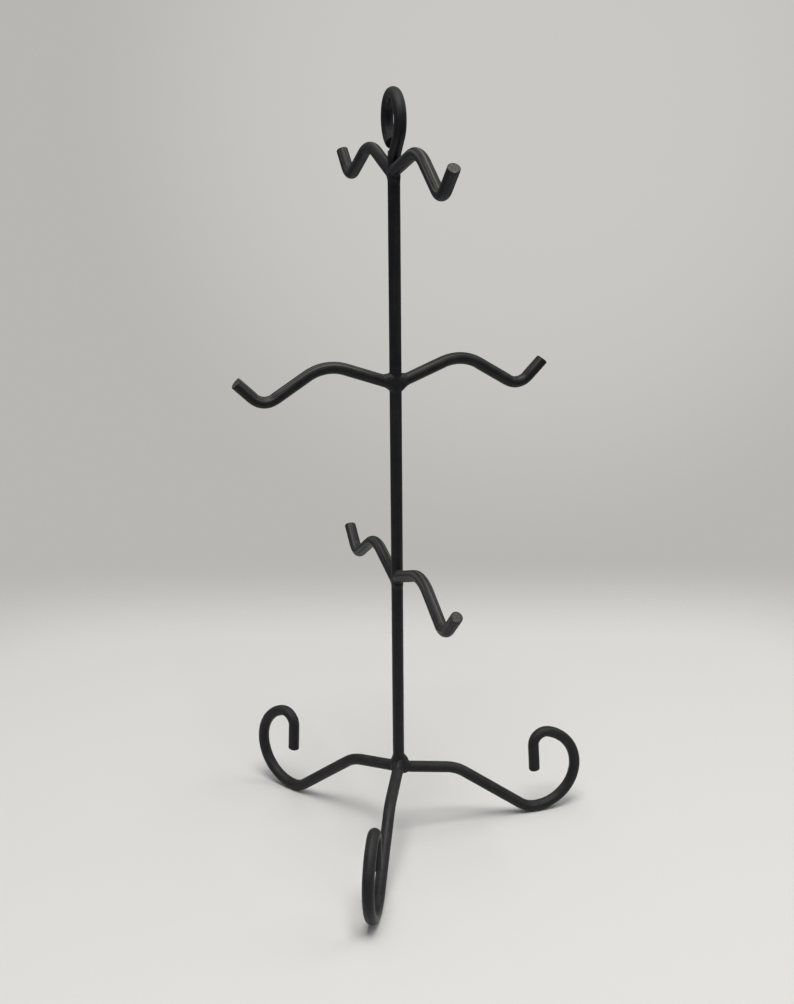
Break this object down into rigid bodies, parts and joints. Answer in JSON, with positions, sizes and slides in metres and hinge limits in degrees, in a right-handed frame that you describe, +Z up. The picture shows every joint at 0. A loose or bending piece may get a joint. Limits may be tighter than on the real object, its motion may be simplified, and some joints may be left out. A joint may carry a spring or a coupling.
{
  "type": "mug tree",
  "caption": "Free-standing welded bar tree with opposed hooked arms for hanging mugs by their handles, scrolled legs and a carrying eye.",
  "frame": {"origin": "on the table, under the stem's axis", "axes": "+Z up along the stem, +X along the right-hand arm of the middle tier and the right-hand leg, -Y along the front arms of the top and bottom tiers"},
  "size_m": [0.1967, 0.1959, 0.4109],
  "materials": {
    "bar_paint": "satin",
    "weld_paint": "satin"
  },
  "bodies": {
    "root": {"stem": "bar_paint", "arm_top_front": "bar_paint", "arm_top_back": "bar_paint", "arm_middle_right": "bar_paint", "arm_middle_left": "bar_paint", "arm_bottom_front": "bar_paint", "arm_bottom_back": "bar_paint", "leg_right": "bar_paint", "leg_back": "bar_paint", "leg_front": "bar_paint", "weld_arm_top_front": "weld_paint", "weld_arm_top_back": "weld_paint", "weld_arm_middle_right": "weld_paint", "weld_arm_middle_left": "weld_paint", "weld_arm_bottom_front": "weld_paint", "weld_arm_bottom_back": "weld_paint", "weld_leg_right": "weld_paint", "weld_leg_back": "weld_paint", "weld_leg_front": "weld_paint"}
  },
  "joints": []
}
